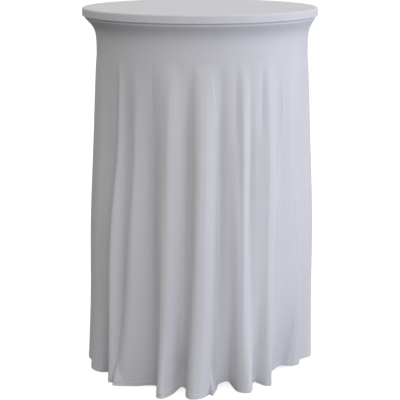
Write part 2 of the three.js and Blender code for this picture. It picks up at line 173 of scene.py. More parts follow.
# The same for the lines that go on from the right side round the back to the left side.
back_folds = [
    (101, -1, -2, 102, 292), (104, 2, 4, 104.5, 330), (107, 5, 12, 107, 357), (110.5, 4, 9, 111, 352),
    (113.5, -2, -2, 114.5, 322), (117, -6, -10, 118, 286), (121, -4, -6, 121.5, 300),
    (124, 3, 8, 124, 345), (127, 8, 15, 126.5, 363), (130, 3, 6, 129.5, 344),
    (133, -5, -8, 132.5, 300), (137, -9, -14, 136, 270), (141, -5, -9, 140.5, 288),
    (144.5, 2, 3, 144, 333), (148, 6, 10, 148, 355), (152, 5, 8, 152.5, 350),
    (155, -1, -3, 156, 318), (158, -7, -12, 159.5, 277), (162, -8, -13, 163.5, 268),
    (166, -3, -5, 167, 296), (169.5, 4, 8, 170.5, 340), (173, 9, 16, 174, 366),
    (177, 8, 13, 178, 362), (181, 5, 7, 182, 354), (184.5, 1, 2, 186, 340),
    (188, -5, -8, 190, 305), (191, -9, -15, 193, 272), (195, -5, -8, 196.5, 290),
    (198, 1, 3, 199.5, 332), (201, 5, 11, 202.5, 357), (204, 2, 5, 205.5, 345),
    (207.5, -4, -6, 208.5, 309), (211, -7, -11, 212, 280), (215, -4, -7, 215.5, 288),
    (219, 2, 4, 218.5, 331), (223, 6, 12, 222, 358), (227, 4, 8, 226, 352),
    (230, -1, -1, 229.5, 330), (233, -6, -9, 233, 291), (237, -7, -12, 237.5, 274),
    (240.5, -2, -2, 241, 310), (243.5, 4, 9, 243.5, 348), (247, 6, 11, 246.5, 359),
    (250.5, 1, 2, 250, 336), (254, -3, -5, 254, 305), (257.5, -2, -3, 257, 312),
]

# Fine creases and ridges that the stretched cloth forms along a fold: how far each stands out,
# its width to the left and to the right of its line, and the line's bearings and heights.
creases = [
    (-3.0, 4, 5, (
        (-36.9, 790), (-37.8, 590), (-40.2, 422), (-43, 236), (-44.8, 123), (-45.6, 60), (-46.4, 2),
    )),
    (-3.0, 14, 4, ((-49.6, 960), (-47.8, 700), (-48.4, 440), (-50.6, 250), (-51.2, 20))),
    (2.0, 5, 8, ((-46.0, 950), (-45.2, 700), (-45.8, 440), (-47.6, 250), (-48.8, 20))),
    (-2.5, 10, 3, ((-20.4, 380), (-20.6, 250), (-21.2, 20))),
    (-3.0, 5, 4, ((6.8, 950), (7.6, 880), (9.0, 820), (10.0, 770))),
    (2.2, 4, 4, ((5.2, 950), (6.4, 880), (7.8, 820), (9.0, 760))),
    (-2.5, 6, 6, ((10.6, 860), (10.5, 586), (10.2, 471), (9.3, 295), (8.4, 146), (7.8, 40))),
    (-4.0, 13, 10, ((18.7, 985), (18.5, 880), (18.2, 700))),
    (-4.5, 11, 9, ((33.6, 985), (33.0, 880), (32.4, 720))),
    (-3.0, 14, 14, ((-3.0, 1010), (-5.0, 900), (-6.0, 780))),
    (-2.0, 12, 12, ((-24.5, 1000), (-25.5, 880), (-25.5, 740))),
    (2.2, 6, 4, ((25.1, 950), (24.4, 700), (23.9, 464), (24.6, 286), (25.2, 20))),
    (-3.0, 3, 6, ((26.8, 800), (25.4, 464), (25.9, 286), (26.6, 20))),
    (2.4, 5, 4, ((41.8, 940), (40.6, 740), (39.4, 569), (38.8, 300), (38.6, 20))),
    (2.0, 4, 4, ((46.3, 950), (47.6, 817), (45.1, 704), (42.4, 589), (40.6, 470))),
    (-1.6, 3, 5, ((44.0, 930), (44.2, 817), (42.9, 704), (41.5, 600))),
    (2.0, 5, 3, ((56.7, 840), (57.2, 660), (56.1, 541), (58.4, 430), (61.2, 236), (64, 60))),
    (-2.0, 3, 6, ((58.2, 800), (58.5, 660), (57.4, 541), (59.8, 430), (62.6, 236))),
]

# Where the hem meets the floor some folds turn outwards below a slanting line: the line's two
# ends as bearing and height, and how steeply the cloth leans out below it.
kicks = [
    ((-18.5, 6), (-7.5, 72), 0.32),
    ((5.6, 82), (9.8, 46), 0.45),
    ((-45.6, 90), (-39.5, 4), 0.17),
]


def smooth_ramp(x):
    x = np.clip(x, 0, 1)
    return x * x * (3 - 2 * x)


def hermite(values, slopes, i, f, width):
    """A smooth cubic between the values i and i + 1, read at the share f of that width."""
    return (
        (2 * f**3 - 3 * f**2 + 1) * values[i]
        + (f**3 - 2 * f**2 + f) * width * slopes[i]
        + (-2 * f**3 + 3 * f**2) * values[i + 1]
        + (f**3 - f**2) * width * slopes[i + 1]
    )


def smooth_round(values, knots, at):
    """A closed smooth curve through the values at the knots, read at the places asked."""
    span = knots[-1]
    k = np.concatenate([knots[:-1] - span, knots[:-1], knots[:-1] + span, [2 * span]])
    v = np.concatenate([values, values, values, values[:1]])
    i = np.clip(np.searchsorted(k, at, side="right") - 1, 0, len(k) - 2)
    width = k[i + 1] - k[i]
    f = (at - k[i]) / width
    return hermite(v, np.gradient(v, k, axis=0), i, f[:, None], width[:, None])


def round_and_round(values, spread):
    """Smooths values that go once round the skirt, over about that many columns."""
    reach = int(3 * spread) + 1
    weight = np.exp(-0.5 * (np.arange(-reach, reach + 1) / spread) ** 2)
    weight /= weight.sum()
    padded = np.concatenate([values[-reach:], values, values[:reach]])
    return np.convolve(padded, weight, mode="valid")


def even_round(bearings, spread):
    """Smooths bearings that grow by one whole turn round the skirt."""
    steady = np.linspace(0, 2 * math.pi, COLUMNS, endpoint=False)
    return steady + round_and_round(bearings - steady, spread)


def hanging_lines():
    """For each mesh column: neck and hem bearing, radius at each level, and depth of trough."""
    table = np.array(front_folds + back_folds, float)
    neck, high, middle, hem_bearing, hem_radius = table.T
    neck, hem_bearing = np.radians(neck), np.radians(hem_bearing)
    plan = np.stack([hem_radius * np.sin(hem_bearing), -hem_radius * np.cos(hem_bearing)], axis=1)
    steps = np.linalg.norm(np.roll(plan, -1, axis=0) - plan, axis=1)
    knots = np.concatenate([[0], np.cumsum(steps)])
    along = np.linspace(0, knots[-1], COLUMNS, endpoint=False)
    values = np.stack([high, middle, plan[:, 0], plan[:, 1]], axis=1)
    high, middle, x, y = smooth_round(values, knots, along).T
    # In the troughs the hem hangs further out, and clear of the floor.
    radius = np.hypot(x, y)
    trough = np.maximum(NECK_RADIUS - radius, 0)
    radius = radius + TROUGH_OUT * trough
    low = 0.7 * middle * FOLD_DEPTH + 0.3 * (radius - LOW_RADIUS)
    turn = 2 * math.pi
    neck = np.interp(along, knots, np.append(neck, neck[0] + turn))
    hem_bearing = np.unwrap(np.arctan2(x, -y))
    hem_bearing += turn * round((neck[0] - hem_bearing[0]) / turn)
    levels = [
        np.full(COLUMNS, float(NECK_RADIUS)),
        round_and_round(HIGH_RADIUS + high * FOLD_DEPTH, 1.6),
        round_and_round(MIDDLE_RADIUS + middle * FOLD_DEPTH, 1.2),
        round_and_round(LOW_RADIUS + low, 1.2),
        round_and_round(radius, 1.2),
    ]
    return even_round(neck, 5), even_round(hem_bearing, 1.2), levels, round_and_round(trough, 4), knots[-1]


def between_levels(level, at):
    """A smooth run down the skirt through the values at the neck, high, middle and hem."""
    places = np.array([0, HIGH_DROP, MIDDLE_DROP, LOW_DROP, SEAM_HEIGHT])
    places = (places - FOLDS_START) / (SEAM_HEIGHT - FOLDS_START)
    places = np.clip(places, 0, 1) ** FOLD_EASE
    at = at**FOLD_EASE
    i = np.clip(np.searchsorted(places, at, side="right") - 1, 0, 3)
    width = (places[i + 1] - places[i])[:, None]
    f = (at - places[i])[:, None] / width
    return hermite(level, np.gradient(level, places, axis=0), i, f, width)


def add_creases(bearing, radius, height):
    """Raises the fine ridges and sinks the creases, each fading out at its two ends."""
    for stands_out, left, right, line in creases:
        at = np.array(sorted((z, b) for b, z in line), float)
        middle = np.interp(height, at[:, 0], at[:, 1])[:, None]
        across = np.radians(np.degrees(bearing) - middle) * radius
        side = np.where(across < 0, left, right)
        shape = np.exp(-((np.abs(across) / side) ** 1.4))
        low, high = at[0, 0], at[-1, 0]
        ends = smooth_ramp((high - height) / 110)
        if low > 100:
            ends = ends * smooth_ramp((height - low) / 110)
        radius += stands_out * shape * ends[:, None]


def add_kicks(bearing, radius, height):
    """Leans the cloth out below each slanting line near the floor."""
    degrees = np.degrees(bearing)
    for (first, first_height), (last, last_height), lean in kicks:
        line = first_height + (degrees - first) * (last_height - first_height) / (last - first)
        inside = smooth_ramp((degrees - first + 1) / 2) * smooth_ramp((last + 1 - degrees) / 2)
        radius += lean * np.maximum(line - height[:, None], 0) * inside


def skirt_surface():
    """Points of the skirt's cloth in metres, rows from the seam down and columns round it."""
    neck, hem_bearing, levels, trough, hem_length = hanging_lines()
    height = np.concatenate([
        SEAM_HEIGHT - np.linspace(0, 90, 30, endpoint=False),
        SEAM_HEIGHT - np.linspace(90, 950, 86, endpoint=False),
        np.linspace(SEAM_HEIGHT - 950, HEM_BAND + 4, 22),
        HEM_BAND + np.array([2.2, 1.2, 0.6, 0, -0.6, -2]),
        [11, 7, 4, 2.2, HEM_HEIGHT],
    ])
    drop = SEAM_HEIGHT - height
    down = np.clip((drop - FOLDS_START) / (SEAM_HEIGHT - FOLDS_START), 0, 1)
    drawn_in = np.exp(-((drop / 27) ** 1.5))
    neck_radius = NECK_RADIUS + (SEAM_RADIUS - NECK_RADIUS) * drawn_in
    # The seam itself is pulled in, so the cloth rolls out just below it.
    neck_radius -= 4 * np.exp(-((drop / 3) ** 2))
    radius = between_levels(np.stack(levels), down) + (neck_radius - NECK_RADIUS)[:, None]
    bearing = neck[None] + (hem_bearing - neck)[None] * (down**HEM_SWING)[:, None]
    radius *= 1 + 0.02 * np.sin(bearing) * (1 - drawn_in - 0.8 * down)[:, None].clip(0, 1)
    add_creases(bearing, radius, height)
    add_kicks(bearing, radius, height)
    # Faint upright ripples, where the knit has stretched unevenly.
    chance = np.random.default_rng(5)
    ripple = np.zeros((len(height), COLUMNS))
    for waves in (31, 47, 68, 97, 139):
        phase, drift = chance.uniform(0, 6.3), chance.uniform(-1.5, 1.5)
        ripple += np.sin(waves * neck[None] + phase + drift * down[:, None]) * 12 / waves
    radius += ripple * smooth_ramp((drop - 90) / 300)[:, None]
    # The hem's double cloth is a little thicker, and its stitches sink into it.
    radius += 0.5 * (height < HEM_BAND + 0.3)[:, None]
    radius -= 0.5 * np.exp(-(((height - HEM_BAND) / 0.8) ** 2))[:, None]
    plan = np.dstack([radius * np.sin(bearing), -radius * np.cos(bearing)])
    # Below the hem's fold the cloth turns in and runs back up behind itself.
    along = np.roll(plan[-1], -1, axis=0) - np.roll(plan[-1], 1, axis=0)
    inwards = np.stack([-along[:, 1], along[:, 0]], axis=1)
    inwards /= np.linalg.norm(inwards, axis=1)[:, None]
    turned = np.array([(1.2, 1.1), (2.2, 2.4), (2.4, 8), (2.4, HEM_BAND)])
    plan = np.concatenate([plan, plan[-1][None] + inwards[None] * turned[:, :1, None]])
    height = np.concatenate([height, turned[:, 1]])
    lift = np.clip(1 - height / 400, 0, 1)[:, None] * (TROUGH_LIFT * trough)[None]
    z = height[:, None] + lift
    return np.dstack([plan, z]) * MM, height, neck, hem_length * MM


def linked(name, mesh):
    piece = bpy.data.objects.new(name, mesh)
    bpy.context.collection.objects.link(piece)
    return piece


def smoothed(piece, sharp=35):
    """Smooth shading, except across edges sharper than so many degrees."""
    piece.data.polygons.foreach_set("use_smooth", [True] * len(piece.data.polygons))
    piece.data.set_sharp_from_angle(angle=math.radians(sharp))


def mapped(mesh, places):
    """Gives a mesh its cloth map: metres across and down for each of its points."""
    points = np.empty(len(mesh.loops), dtype=np.int32)
    mesh.loops.foreach_get("vertex_index", points)
    cloth_map = mesh.uv_layers.new(name="cloth")
    cloth_map.data.foreach_set("uv", np.array(places)[points].astype(np.float32).ravel())


def panel_mesh(name, surface, first, last, columns_length):
    """The columns from first to last as one panel, with a map in metres across and down."""
    rows = surface.shape[0]
    columns = [c % COLUMNS for c in range(first, last + 1)]
    width = len(columns)
    faces = []
    for r in range(rows - 1):
        for c in range(width - 1):
            a = r * width + c
            faces.append((a, a + width, a + width + 1, a + 1))
    mesh = bpy.data.meshes.new(name)
    mesh.from_pydata(surface[:, columns].reshape(-1, 3).tolist(), [], faces)
    steps = np.linalg.norm(np.diff(surface[:, first % COLUMNS], axis=0), axis=1)
    down = np.concatenate([[0], np.cumsum(steps)])
    across = np.arange(width) * columns_length
    mapped(mesh, np.stack([np.tile(across, rows), np.repeat(down, width)], axis=1))
    return linked(name, mesh)


def made_plain(piece):
    """Turns a piece with modifiers into the plain mesh that they give."""
    scene_now = bpy.context.evaluated_depsgraph_get()
    mesh = bpy.data.meshes.new_from_object(piece.evaluated_get(scene_now), depsgraph=scene_now)
    piece.modifiers.clear()
    piece.data = mesh


def cloth_wall(piece, thickness):
    """Gives a sheet its thickness, inwards from the face that shows, with crisp cut edges."""
    wall = piece.modifiers.new("thickness", "SOLIDIFY")
    wall.thickness = thickness
    wall.offset = -1
    wall.use_even_offset = False
    made_plain(piece)
    smoothed(piece, 50)


def feed(tree, node, inputs):
    """Sets each input of a node to a fixed value, or links it to another node's output."""
    for name, given in inputs.items():
        if isinstance(given, bpy.types.NodeSocket):
            tree.links.new(given, node.inputs[name])
        else:
            node.inputs[name].default_value = given


def add_node(tree, kind, inputs={}):
    node = tree.nodes.new(kind)
    feed(tree, node, inputs)
    return node


def new_finish(name, sockets, reads="Object"):
    """A new material with these fixed values, its node tree, its shader and its coordinates."""
    material = bpy.data.materials.new(name)
    material.use_nodes = True
    tree = material.node_tree
    shader = tree.nodes["Principled BSDF"]
    feed(tree, shader, sockets)
    return material, tree, shader, add_node(tree, "ShaderNodeTexCoord").outputs[reads]


def two_tones(tree, dark, light, share):
    tone = add_node(tree, "ShaderNodeMixRGB", {"Color1": (*dark, 1), "Color2": (*light, 1), "Fac": share})
    return tone.outputs["Color"]


def relief(tree, shader, height, strength, distance):
    """Gives the surface fine relief, up to a distance in metres."""
    bump = add_node(tree, "ShaderNodeBump", {"Strength": strength, "Distance": distance, "Height": height})
    feed(tree, shader, {"Normal": bump.outputs["Normal"]})


def stretch_knit(name, colour):
    """Thin polyester and elastane knit: fine ribs down the cloth, a faint bloom and soft sheen."""
    material, tree, shader, on_cloth = new_finish(name, {
        "Roughness": 0.72, "Sheen Weight": 0.18, "Sheen Roughness": 0.45, "Specular IOR Level": 0.3,
    }, "UV")
    noises = []
    for scale, detail in (((900, 260, 1), 2), ((16, 3, 1), 4)):
        stretched = add_node(tree, "ShaderNodeMapping", {"Scale": scale, "Vector": on_cloth})
        noise = {"Scale": 1, "Detail": detail, "Vector": stretched.outputs["Vector"]}
        noises.append(add_node(tree, "ShaderNodeTexNoise", noise).outputs["Fac"])
    ribs, bloom = noises
    dark, light = [c * 0.97 for c in colour], [min(1, c * 1.03) for c in colour]
    feed(tree, shader, {"Base Color": two_tones(tree, dark, light, bloom)})
    relief(tree, shader, ribs, 0.25, 0.0003)
    return material


skirt_cloth = stretch_knit("stretch_knit", (0.70, 0.70, 0.742))
skirt, skirt_heights, neck_bearing, hem_length = skirt_surface()
column_width = hem_length / COLUMNS
# The panels are joined in the troughs beside the folds, where the seams hardly show.
seam_bearings = np.radians([-52.5, 47.0, 133.0, 226.0])
past_the_first = (seam_bearings - neck_bearing[0]) % (2 * math.pi)
seam_columns = np.searchsorted(neck_bearing, past_the_first + neck_bearing[0])
for i, side in enumerate(PANELS):
    first = int(seam_columns[i])
    last = int(seam_columns[(i + 1) % 4])
    if last <= first:
        last += COLUMNS
    panel = panel_mesh(f"skirt_{side}", skirt, first, last, column_width)
    panel.data.materials.append(skirt_cloth)
    cloth_wall(panel, CLOTH * MM)
    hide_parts(f"skirt_gore_{side}")
    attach(panel, "top")
    wide = (last - first) * column_width


# ======================================================================================
# STITCHES: white polyester thread. Two rows of plain stitches hold the hem, and one row
# holds the elastic under the rim. Each stitch is a small padded lozenge laid along its row.
# ======================================================================================
STITCH_PITCH = 3.2
STITCH_LENGTH = 2.5
STITCH_WIDTH = 0.55
HEM_ROW_GAP = 2.0


def thread_material():
    """Shiny twisted thread, with its twist as slanting bands along each stitch: raised in relief, and
    painted darker between the strands as shade.
    """
    material, tree, shader, place = new_finish("sewing_thread", {"Roughness": 0.5})
    twist = add_node(tree, "ShaderNodeTexWave", {"Scale": 900, "Vector": place})
    twist.bands_direction = "DIAGONAL"
    strand_relief_and_shade = twist.outputs["Fac"]
    # Painted shade: the colour is darker where the twist wave is low, between the strands.
    feed(tree, shader, {"Base Color": two_tones(tree, (0.62, 0.62, 0.655), (0.76, 0.76, 0.79), strand_relief_and_shade)})
    relief(tree, shader, strand_relief_and_shade, 0.4, 0.0001)
    return material


def stitch_tree():
    """Geometry Nodes that lay stitches end to end along the mesh's edges."""
    tree = bpy.data.node_groups.new("stitch_row", "GeometryNodeTree")
    ports = tree.interface
    ports.new_socket("Line", in_out="INPUT", socket_type="NodeSocketGeometry")
    for name in ("Pitch", "Length", "Width"):
        ports.new_socket(name, in_out="INPUT", socket_type="NodeSocketFloat")
    ports.new_socket("Thread", in_out="INPUT", socket_type="NodeSocketMaterial")
    ports.new_socket("Stitches", in_out="OUTPUT", socket_type="NodeSocketGeometry")
    given = add_node(tree, "NodeGroupInput").outputs
    curve = add_node(tree, "GeometryNodeMeshToCurve", {"Mesh": given["Line"]})
    spaced = add_node(tree, "GeometryNodeResampleCurve")
    spaced.mode = "LENGTH"
    feed(tree, spaced, {"Curve": curve.outputs["Curve"], "Length": given["Pitch"]})
    stitch = add_node(tree, "GeometryNodeMeshUVSphere", {"Segments": 6, "Rings": 4, "Radius": 0.5})
    size = add_node(tree, "ShaderNodeCombineXYZ", {
        "X": given["Width"], "Y": given["Width"], "Z": given["Length"],
    })
    heading = add_node(tree, "GeometryNodeInputTangent")
    turned = add_node(tree, "FunctionNodeAlignRotationToVector", {"Vector": heading.outputs["Tangent"]})
    turned.axis = "Z"
    placed = add_node(tree, "GeometryNodeInstanceOnPoints", {
        "Points": spaced.outputs["Curve"], "Instance": stitch.outputs["Mesh"],
        "Rotation": turned.outputs["Rotation"], "Scale": size.outputs["Vector"],
    })
    real = add_node(tree, "GeometryNodeRealizeInstances", {"Geometry": placed.outputs["Instances"]})
    painted = add_node(tree, "GeometryNodeSetMaterial", {
        "Geometry": real.outputs["Geometry"], "Material": given["Thread"],
    })
    add_node(tree, "NodeGroupOutput", {"Stitches": painted.outputs["Geometry"]})
    return tree


thread = thread_material()
stitch_row = stitch_tree()


def sewn_rows(name, rows):
    """One piece of stitches that follow each closed row of points."""
    points, edges = [], []
    for row in rows:
        start = len(points)
        points += [tuple(p) for p in row]
        edges += [(start + i, start + (i + 1) % len(row)) for i in range(len(row))]
    mesh = bpy.data.meshes.new(name)
    mesh.from_pydata(points, edges, [])
    piece = linked(name, mesh)
    sewing = piece.modifiers.new("sewing", "NODES")
    sewing.node_group = stitch_row
    items = stitch_row.interface.items_tree
    sockets = {item.name: item.identifier for item in items if item.in_out == "INPUT"}
    sewing[sockets["Pitch"]] = STITCH_PITCH * MM
    sewing[sockets["Length"]] = STITCH_LENGTH * MM
    sewing[sockets["Width"]] = STITCH_WIDTH * MM
    sewing[sockets["Thread"]] = thread
    made_plain(piece)
    piece.data.polygons.foreach_set("use_smooth", [True] * len(piece.data.polygons))
    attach(piece, "top")
    return piece


hem_rows = []
for step in (0, HEM_ROW_GAP):
    at = int(np.argmin(np.abs(skirt_heights - (HEM_BAND - step))))
    ring = skirt[at].copy()
    ahead = np.roll(ring, -1, axis=0) - np.roll(ring, 1, axis=0)
    outwards = np.stack([ahead[:, 1], -ahead[:, 0]], axis=1)
    outwards /= np.linalg.norm(outwards, axis=1)[:, None]
    ring[:, :2] += outwards * 0.1 * MM
    hem_rows.append(ring)
hem_stitches = sewn_rows("hem_stitches", hem_rows)


# ======================================================================================
# CAP: one round panel of the same knit, pulled tight over the tabletop, down its edge and
# a little way in underneath, where the skirt and the elastic are sewn to it.
# ======================================================================================
CAP_RADIUS = 350 * MM
CAP_TOP = 1100 * MM
CAP_UNDERSIDE = 1075.6 * MM
CAP_SIDES = 384


def cap_profile():
    """Radius and height along the cap's outer face, from the middle of the top to the lip."""
    rim, under = 4.5 * MM, 2.6 * MM
    points = [(r, CAP_TOP) for r in np.linspace(0, CAP_RADIUS - rim, 40)]
    for a in np.radians(np.linspace(0, 90, 10)[1:]):
        points.append((CAP_RADIUS - rim + rim * math.sin(a), CAP_TOP - rim + rim * math.cos(a)))
    points += [(CAP_RADIUS, z) for z in np.linspace(CAP_TOP - rim, CAP_UNDERSIDE + under, 14)[1:]]
    for a in np.radians(np.linspace(0, 90, 7)[1:]):
        r = CAP_RADIUS - under + under * math.cos(a)
        points.append((r, CAP_UNDERSIDE + under - under * math.sin(a)))
    points += [(r, CAP_UNDERSIDE) for r in np.linspace(CAP_RADIUS - under, CAP_RADIUS - 4 * MM, 3)[1:]]
    return np.array(points)


def bands(rows, sides, ring=False):
    """Faces between neighbouring rows of points that go all the way round."""
    faces = []
    for row in range(rows if ring else rows - 1):
        a, b = row * sides, ((row + 1) % rows) * sides
        for c in range(sides):
            d = (c + 1) % sides
            faces.append((a + c, a + d, b + d, b + c))
    return faces


def turned_cap():
    """The cap turned about the table's axis, mapped flat from its middle outwards."""
    profile = cap_profile()
    run = np.concatenate([[0], np.cumsum(np.linalg.norm(np.diff(profile, axis=0), axis=1))])
    bearing = np.linspace(0, 2 * math.pi, CAP_SIDES, endpoint=False)
    # The tight edge puckers very slightly where the seam gathers it.
    pucker = sum(a * np.sin(n * bearing + n) for n, a in ((23, 0.22), (41, 0.16), (67, 0.10))) * MM
    points, places = [(0, 0, CAP_TOP)], [(0, 0)]
    for (r, z), reach in zip(profile[1:], run[1:]):
        low = smooth_ramp((CAP_TOP - 8 * MM - z) / (12 * MM))
        for b, p in zip(bearing, pucker):
            points.append(((r + p * low) * math.sin(b), -(r + p * low) * math.cos(b), z))
            places.append((reach * math.sin(b), -reach * math.cos(b)))
    faces = [(0, 1 + c, 1 + (c + 1) % CAP_SIDES) for c in range(CAP_SIDES)]
    for a, d, e, b in bands(len(profile) - 1, CAP_SIDES):
        faces.append((1 + a, 1 + b, 1 + e, 1 + d))
    mesh = bpy.data.meshes.new("cap")
    mesh.from_pydata(points, [], faces)
    mapped(mesh, places)
    return linked("cap", mesh)


cap = turned_cap()
cap.data.materials.append(skirt_cloth)
cloth_wall(cap, CLOTH * MM)
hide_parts("cover_cap")
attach(cap, "top")


# ======================================================================================
# ELASTIC: a ribbed woven tape sewn flat inside the cap's lip, right round the table. It
# pulls the cover in under the rim, and gathers itself a little as it does.
# ======================================================================================
tape_low, tape_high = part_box("seam_elastic")
TAPE_OUTER = tape_high.x
TAPE_WIDTH = 8 * MM
TAPE_SIDES = 720
STITCHED = TAPE_OUTER - 0.6 * TAPE_WIDTH  # radius of the row of stitches along the tape


def ribbed_tape(name, colour):
    """White elastic: fine raised ribs across its width, with painted shade that darkens the grooves between
    them.
    """
    material, tree, shader, on_tape = new_finish(name, {"Roughness": 0.85, "Sheen Weight": 0.2}, "UV")
    stretched = add_node(tree, "ShaderNodeMapping", {"Scale": (700, 60, 1), "Vector": on_tape})
    wave = {"Scale": 1, "Distortion": 0.4, "Vector": stretched.outputs["Vector"]}
    ribs = add_node(tree, "ShaderNodeTexWave", wave).outputs["Fac"]
    # Painted shade: the base colour is darker where the rib wave is low, in the grooves between the ribs.
    feed(tree, shader, {"Base Color": two_tones(tree, [c * 0.86 for c in colour], colour, ribs)})
    relief(tree, shader, ribs, 0.6, 0.0004)
    return material


def elastic_ring():
    """The tape as a closed flat band with soft edges, waved a little where it is gathered."""
    bearing = np.linspace(0, 2 * math.pi, TAPE_SIDES, endpoint=False)
    thick = (tape_high.z - tape_low.z) * 0.8
    soft = 0.35 * MM  # the width of each rounded edge
    section = [(0, 0), (soft, -0.5), (TAPE_WIDTH - soft, -0.5), (TAPE_WIDTH, 0),
               (TAPE_WIDTH - soft, 0.5), (soft, 0.5)]
    middle = (tape_high.z + tape_low.z) / 2
    wave = (np.sin(131 * bearing) + 0.6 * np.sin(187 * bearing + 1)) * 0.12 * MM
    points, places = [], []
    for inwards, up in section:
        r = TAPE_OUTER - inwards
        z = middle + up * thick + wave * (inwards / TAPE_WIDTH)
        points += list(zip(r * np.sin(bearing), -r * np.cos(bearing), z))
        places += [(b * TAPE_OUTER, inwards) for b in bearing]
    mesh = bpy.data.meshes.new("elastic")
    mesh.from_pydata(points, [], bands(len(section), TAPE_SIDES, ring=True))
    mapped(mesh, places)
    mesh.polygons.foreach_set("use_smooth", [True] * len(mesh.polygons))
    return linked("elastic", mesh)


def facing_out(piece):
    """Joins doubled points and turns every face of a closed piece outwards."""
    work = bmesh.new()
    work.from_mesh(piece.data)
    bmesh.ops.remove_doubles(work, verts=work.verts, dist=1e-6)
    bmesh.ops.recalc_face_normals(work, faces=work.faces)
    work.to_mesh(piece.data)
    work.free()


elastic = elastic_ring()
facing_out(elastic)
elastic.data.materials.append(ribbed_tape("elastic_tape", (0.80, 0.80, 0.81)))
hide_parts("seam_elastic")
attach(elastic, "top")
tape_row = np.array([
    (STITCHED * math.sin(b), -STITCHED * math.cos(b), tape_low.z)
    for b in np.linspace(0, 2 * math.pi, TAPE_SIDES, endpoint=False)
])
elastic_stitches = sewn_rows("elastic_stitches", [tape_row])


# ======================================================================================
# TABLETOP: pressed board with a white laminate on its top, a plain backing sheet below, and
# a black plastic edging whose barb is knocked into a groove in the board's edge.
# ======================================================================================
def new_group(name, numbers, results):
    """A shader node group that takes a place and some numbers, and what feeds its nodes."""
    group = bpy.data.node_groups.new(name, "ShaderNodeTree")
    group.interface.new_socket("Place", in_out="INPUT", socket_type="NodeSocketVector")
    for number in numbers:
        group.interface.new_socket(number, in_out="INPUT", socket_type="NodeSocketFloat")
    for result in results:
        group.interface.new_socket(result, in_out="OUTPUT", socket_type="NodeSocketFloat")
    return group, add_node(group, "NodeGroupInput").outputs


def uneven_group():
    """Coarse and fine unevenness of a surface, shared by the hard finishes."""
    group, given = new_group("uneven_surface", ("Coarse", "Fine", "Fine Share"), ("Height", "Tone"))
    coarse, fine = [
        add_node(group, "ShaderNodeTexNoise", {"Detail": 4, "Vector": given["Place"], "Scale": given[scale]})
        for scale in ("Coarse", "Fine")
    ]
    both = add_node(group, "ShaderNodeMix", {
        "Factor": given["Fine Share"], "A": coarse.outputs["Fac"], "B": fine.outputs["Fac"],
    })
    add_node(group, "NodeGroupOutput", {"Height": both.outputs["Result"], "Tone": coarse.outputs["Fac"]})
    return group


def multiplied(tree, one, other):
    node = add_node(tree, "ShaderNodeMath", {0: one, 1: other})
    node.operation = "MULTIPLY"
    return node.outputs["Value"]


def worn_group():
    """A mask of the outer edges and corners where a finish rubs away first."""
    group, given = new_group("worn_edges", ("Amount",), ("Mask",))
    edge = add_node(group, "ShaderNodeMapRange", {
        "From Min": 0.60, "From Max": 0.72,
        "Value": add_node(group, "ShaderNodeNewGeometry").outputs["Pointiness"],
    })
    patch = add_node(group, "ShaderNodeTexNoise", {"Scale": 140, "Detail": 5, "Vector": given["Place"]})
    broken = add_node(group, "ShaderNodeMapRange", {
        "From Min": 0.42, "From Max": 0.62, "Value": patch.outputs["Fac"],
    })
    rubbed = multiplied(group, edge.outputs["Result"], broken.outputs["Result"])
    add_node(group, "NodeGroupOutput", {"Mask": multiplied(group, rubbed, given["Amount"])})
    return group


def use_group(tree, group, inputs):
    node = tree.nodes.new("ShaderNodeGroup")
    node.node_tree = group
    feed(tree, node, inputs)
    return node.outputs


uneven_surface = uneven_group()
worn_edges = worn_group()


def hard_finish(
    name, colour, roughness, metallic=0.0, coarse=60, fine=900, depth=0.0001, tone=0.1, worn=None
):
    """A painted, moulded or plated finish; worn is the colour that shows on rubbed edges."""
    material, tree, shader, place = new_finish(name, {"Metallic": metallic})
    uneven = use_group(tree, uneven_surface, {
        "Coarse": coarse, "Fine": fine, "Fine Share": 0.6, "Place": place,
    })
    dark, light = [c * (1 - tone) for c in colour], [min(1, c * (1 + tone)) for c in colour]
    shade = two_tones(tree, dark, light, uneven["Tone"])
    if worn:
        mask = use_group(tree, worn_edges, {"Amount": 0.8, "Place": place})["Mask"]
        rubbed = {"Color1": shade, "Color2": (*worn, 1), "Fac": mask}
        shade = add_node(tree, "ShaderNodeMixRGB", rubbed).outputs["Color"]
    gloss = add_node(tree, "ShaderNodeMapRange", {
        "To Min": max(0.05, roughness - 0.07), "To Max": min(1, roughness + 0.07), "Value": uneven["Tone"],
    })
    feed(tree, shader, {"Base Color": shade, "Roughness": gloss.outputs["Result"]})
    relief(tree, shader, uneven["Height"], 0.5, depth)
    return material


def pressed_board():
    """Wood flakes of many browns pressed flat, in cells a few millimetres long."""
    material, tree, shader, place = new_finish("pressed_board", {"Roughness": 0.8})
    flat = add_node(tree, "ShaderNodeMapping", {"Scale": (1, 1, 3), "Vector": place})
    flakes = add_node(tree, "ShaderNodeTexVoronoi", {"Scale": 380, "Vector": flat.outputs["Vector"]})
    pick = add_node(tree, "ShaderNodeSeparateColor", {"Color": flakes.outputs["Color"]}).outputs
    browns = add_node(tree, "ShaderNodeValToRGB", {"Fac": pick["Red"]})
    browns.color_ramp.elements[0].color = (0.20, 0.115, 0.055, 1)
    browns.color_ramp.elements[1].color = (0.56, 0.40, 0.24, 1)
    feed(tree, shader, {"Base Color": browns.outputs["Color"]})
    relief(tree, shader, pick["Green"], 0.5, 0.0005)
    return material


def paint(node, material):
    """Gives a part that keeps its own shape its finish."""
    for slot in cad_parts[node].material_slots:
        slot.material = material


board = pressed_board()
white_laminate = hard_finish(
    "white_laminate", (0.74, 0.73, 0.70), 0.42, coarse=14, fine=1500, depth=0.00004, tone=0.03
)
edging_plastic = hard_finish(
    "edging_plastic", (0.022, 0.022, 0.024), 0.5, coarse=30, fine=700, depth=0.00006
)
paint("core_board", board)
paint("top_laminate", white_laminate)
paint("backing_laminate", white_laminate)
paint("edge_band", edging_plastic)


